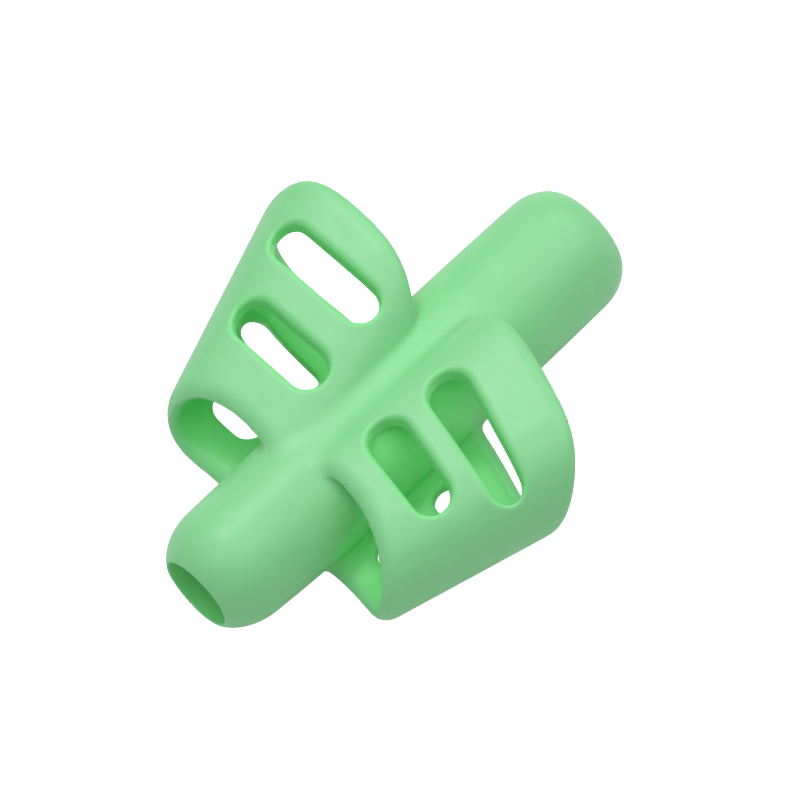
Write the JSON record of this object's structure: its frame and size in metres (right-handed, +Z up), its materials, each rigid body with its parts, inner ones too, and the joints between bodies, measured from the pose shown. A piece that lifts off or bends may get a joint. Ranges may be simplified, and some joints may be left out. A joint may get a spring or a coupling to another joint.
{
  "type": "pencil grip",
  "caption": "Soft silicone pencil grip: tubular barrel with a pencil bore and an open, slotted finger sleeve on each side.",
  "frame": {"origin": "on the pencil's axis near the middle of the barrel, with the barrel's ends 26.1 mm and 27.1 mm away", "axes": "+X along the pencil away from its tip, +Y to the left finger sleeve, +Z up to the side where the sleeves rise"},
  "size_m": [0.0532, 0.045, 0.0183],
  "materials": {
    "soft_silicone": "satin moulded silicone, slightly translucent"
  },
  "bodies": {
    "root": {"barrel": "soft_silicone", "left_finger_sleeve": "soft_silicone", "right_finger_sleeve": "soft_silicone"}
  },
  "joints": []
}
